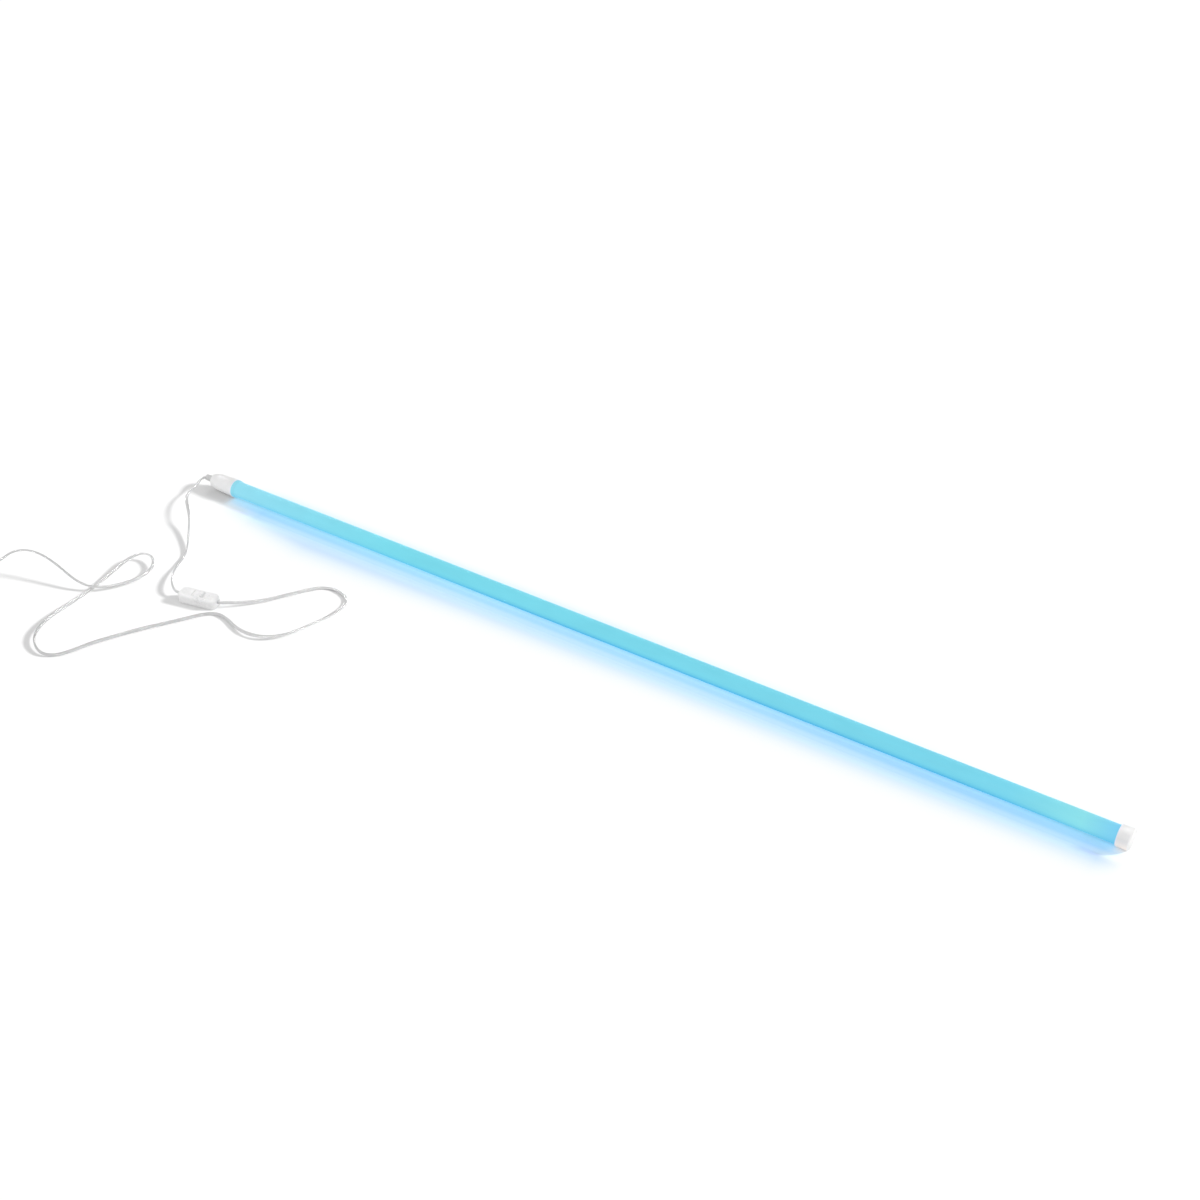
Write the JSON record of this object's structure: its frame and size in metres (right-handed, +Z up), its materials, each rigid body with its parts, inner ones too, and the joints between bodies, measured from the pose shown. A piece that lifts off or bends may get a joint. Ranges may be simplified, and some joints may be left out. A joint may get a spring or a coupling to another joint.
{
  "type": "linear led tube lamp",
  "caption": "Slim lit tube lamp with a round end cap, a tapered power cap, a flat lead, an in-line rocker switch and a two-pin plug.",
  "frame": {"origin": "on the surface that the lamp lies on, under the middle of the lamp without its lead", "axes": "+X along the tube from the lead to the plain end cap, +Z up"},
  "size_m": [1.6052, 0.5037, 0.0423],
  "materials": {
    "tube_opal": "satin opal, lit",
    "collar_clear": "translucent",
    "cap_white": "fine moulded texture",
    "grip_clear": "translucent",
    "rail_aluminium": "extruded",
    "board_white": "solder mask",
    "led_package": "moulded",
    "board_green": "solder mask",
    "component_black": "moulded",
    "component_grey": "ferrite",
    "core_insulation": "smooth",
    "cord_pvc": "clear flex over bright strands",
    "tie_white": "smooth",
    "switch_plastic": "frosted translucent",
    "contact_brass": "bright",
    "screw_steel": "zinc plated",
    "plug_white": "moulded",
    "pin_nickel": "nickel plated",
    "sleeve_dark": "moulded"
  },
  "bodies": {
    "lamp": {"diffuser_tube": "tube_opal", "tube_collar": "collar_clear", "end_cap": "cap_white", "power_cap": "cap_white", "cord_grip": "grip_clear", "grip_locknut": "grip_clear", "led_rail": "rail_aluminium", "led_board": "board_white", "leds": "led_package", "driver_board": "board_green", "driver_capacitor": "component_black", "driver_choke": "component_grey", "driver_rectifier": "component_black", "supply_cores": "core_insulation", "led_wires": "core_insulation", "lamp_cord": "cord_pvc", "plug_cord": "cord_pvc", "plug_tail": "cord_pvc", "cord_coil": "cord_pvc", "coil_tie": "tie_white", "switch_base": "switch_plastic", "switch_cover": "switch_plastic", "switch_terminals": "contact_brass", "terminal_screws": "screw_steel", "case_screws": "screw_steel", "switch_cores": "core_insulation", "plug_body": "plug_white", "plug_pins": "pin_nickel", "pin_sleeves": "sleeve_dark"},
    "rocker": {"switch_rocker": "switch_plastic", "contact_leaf": "contact_brass"}
  },
  "joints": [
    {"name": "rocker_hinge", "type": "hinge", "parent": "lamp", "child": "rocker", "pos_m": [-0.5315, -0.2428, 0.0125], "axis": [-0.2113, 0.9774, 0], "range_deg": [0, 16]}
  ]
}
